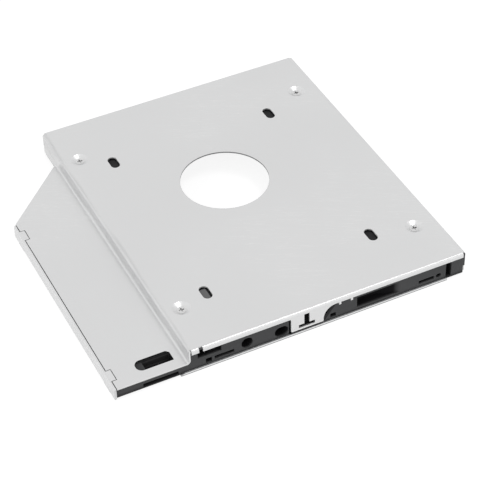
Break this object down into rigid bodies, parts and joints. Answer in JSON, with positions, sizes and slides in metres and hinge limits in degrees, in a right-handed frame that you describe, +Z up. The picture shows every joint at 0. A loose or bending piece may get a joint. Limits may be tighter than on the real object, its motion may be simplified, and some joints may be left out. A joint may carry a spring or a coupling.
{
  "type": "laptop drive caddy",
  "caption": "Slim drive caddy: aluminium cover with a low wing over a black moulded frame, round window, fixing slots and a bay that opens underneath for one small drive.",
  "frame": {"origin": "middle of the footprint on the surface the caddy lies on, with its large plate up", "axes": "+Z up out of the large plate, -Y towards the front that takes a bezel, -X towards the low wing"},
  "size_m": [0.128, 0.1274, 0.0095],
  "materials": {
    "cover_sheet": "satin",
    "black_moulding": "matte",
    "bottom_sheet": "satin",
    "side_rail": "satin",
    "board_green": "satin",
    "amber_film": "gloss",
    "connector_black": "matte",
    "gilt_contacts": "polished",
    "tinned_tags": "satin",
    "capacitor_ceramic": "satin",
    "resistor_black": "satin",
    "screw_steel": "satin"
  },
  "bodies": {
    "root": {"top_cover": "cover_sheet", "main_frame": "black_moulding", "bottom_sheet": "bottom_sheet", "wing_side_rail": "side_rail", "circuit_board": "board_green", "insulating_film": "amber_film", "drive_socket": "connector_black", "drive_socket_contacts": "gilt_contacts", "drive_socket_locks": "tinned_tags", "rear_plug": "connector_black", "rear_plug_contacts": "gilt_contacts", "rear_plug_locks": "tinned_tags", "capacitors": "capacitor_ceramic", "resistors": "resistor_black", "cover_screw_front_left": "screw_steel", "cover_screw_front_right": "screw_steel", "cover_screw_rear_left": "screw_steel", "cover_screw_rear_right": "screw_steel", "board_screw_left": "screw_steel", "board_screw_right": "screw_steel"}
  },
  "joints": []
}
